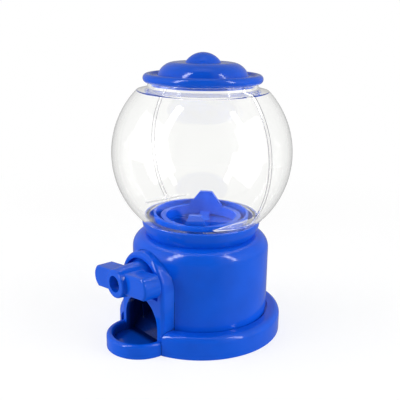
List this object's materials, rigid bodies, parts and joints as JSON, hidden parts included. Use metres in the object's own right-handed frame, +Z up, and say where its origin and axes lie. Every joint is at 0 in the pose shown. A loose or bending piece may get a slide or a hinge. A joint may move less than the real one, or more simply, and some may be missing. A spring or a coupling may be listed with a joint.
{
  "type": "gumball machine",
  "caption": "Small gumball machine: clear globe with a lift-off lid on a round body, a winged knob geared to a dispensing wheel, and a chute that ends in a front tray.",
  "frame": {"origin": "on the surface it stands on, on the upright axis of the globe, body and foot ring", "axes": "+Z up, the knob, chute mouth and tray face -Y, +X to the right-hand side of the globe seam when seen from behind"},
  "size_m": [0.082, 0.0917, 0.129],
  "materials": {
    "blue_plastic": "glossy",
    "clear_plastic": "clear",
    "pale_plastic": "satin",
    "steel": "satin"
  },
  "bodies": {
    "housing": {"globe_front_shell": "clear_plastic", "globe_rear_shell": "clear_plastic", "body_shell": "blue_plastic", "base": "blue_plastic", "front_housing": "blue_plastic", "wheel_housing": "blue_plastic", "guard_plate": "blue_plastic", "hopper_ring": "blue_plastic", "chute_slide": "blue_plastic", "wheel_housing_screws": "steel", "base_screws": "steel", "housing_screws": "steel"},
    "lid": {"lid": "blue_plastic"},
    "knob": {"knob": "blue_plastic", "knob_washer": "steel", "knob_screw": "steel", "drive_shaft": "pale_plastic"},
    "wheel": {"crown_gear": "pale_plastic", "pocket_wheel": "blue_plastic", "agitator_ring": "blue_plastic", "wheel_washer": "steel", "wheel_screw": "steel"}
  },
  "joints": [
    {"name": "knob_turn", "type": "hinge", "parent": "housing", "child": "knob", "pos_m": [0, -0.03, 0.03252], "axis": [0, -1, 0], "continuous": true},
    {"name": "wheel_turn", "type": "hinge", "parent": "housing", "child": "wheel", "pos_m": [0, 0, 0.044], "axis": [0, 0, 1], "continuous": true},
    {"name": "lid_lift", "type": "slide", "parent": "housing", "child": "lid", "axis": [0, 0, 1], "range_m": [0, 0.025]}
  ],
  "couplings": [
    {"joint": "wheel_turn", "follows": "knob_turn", "ratio": -0.66667}
  ]
}
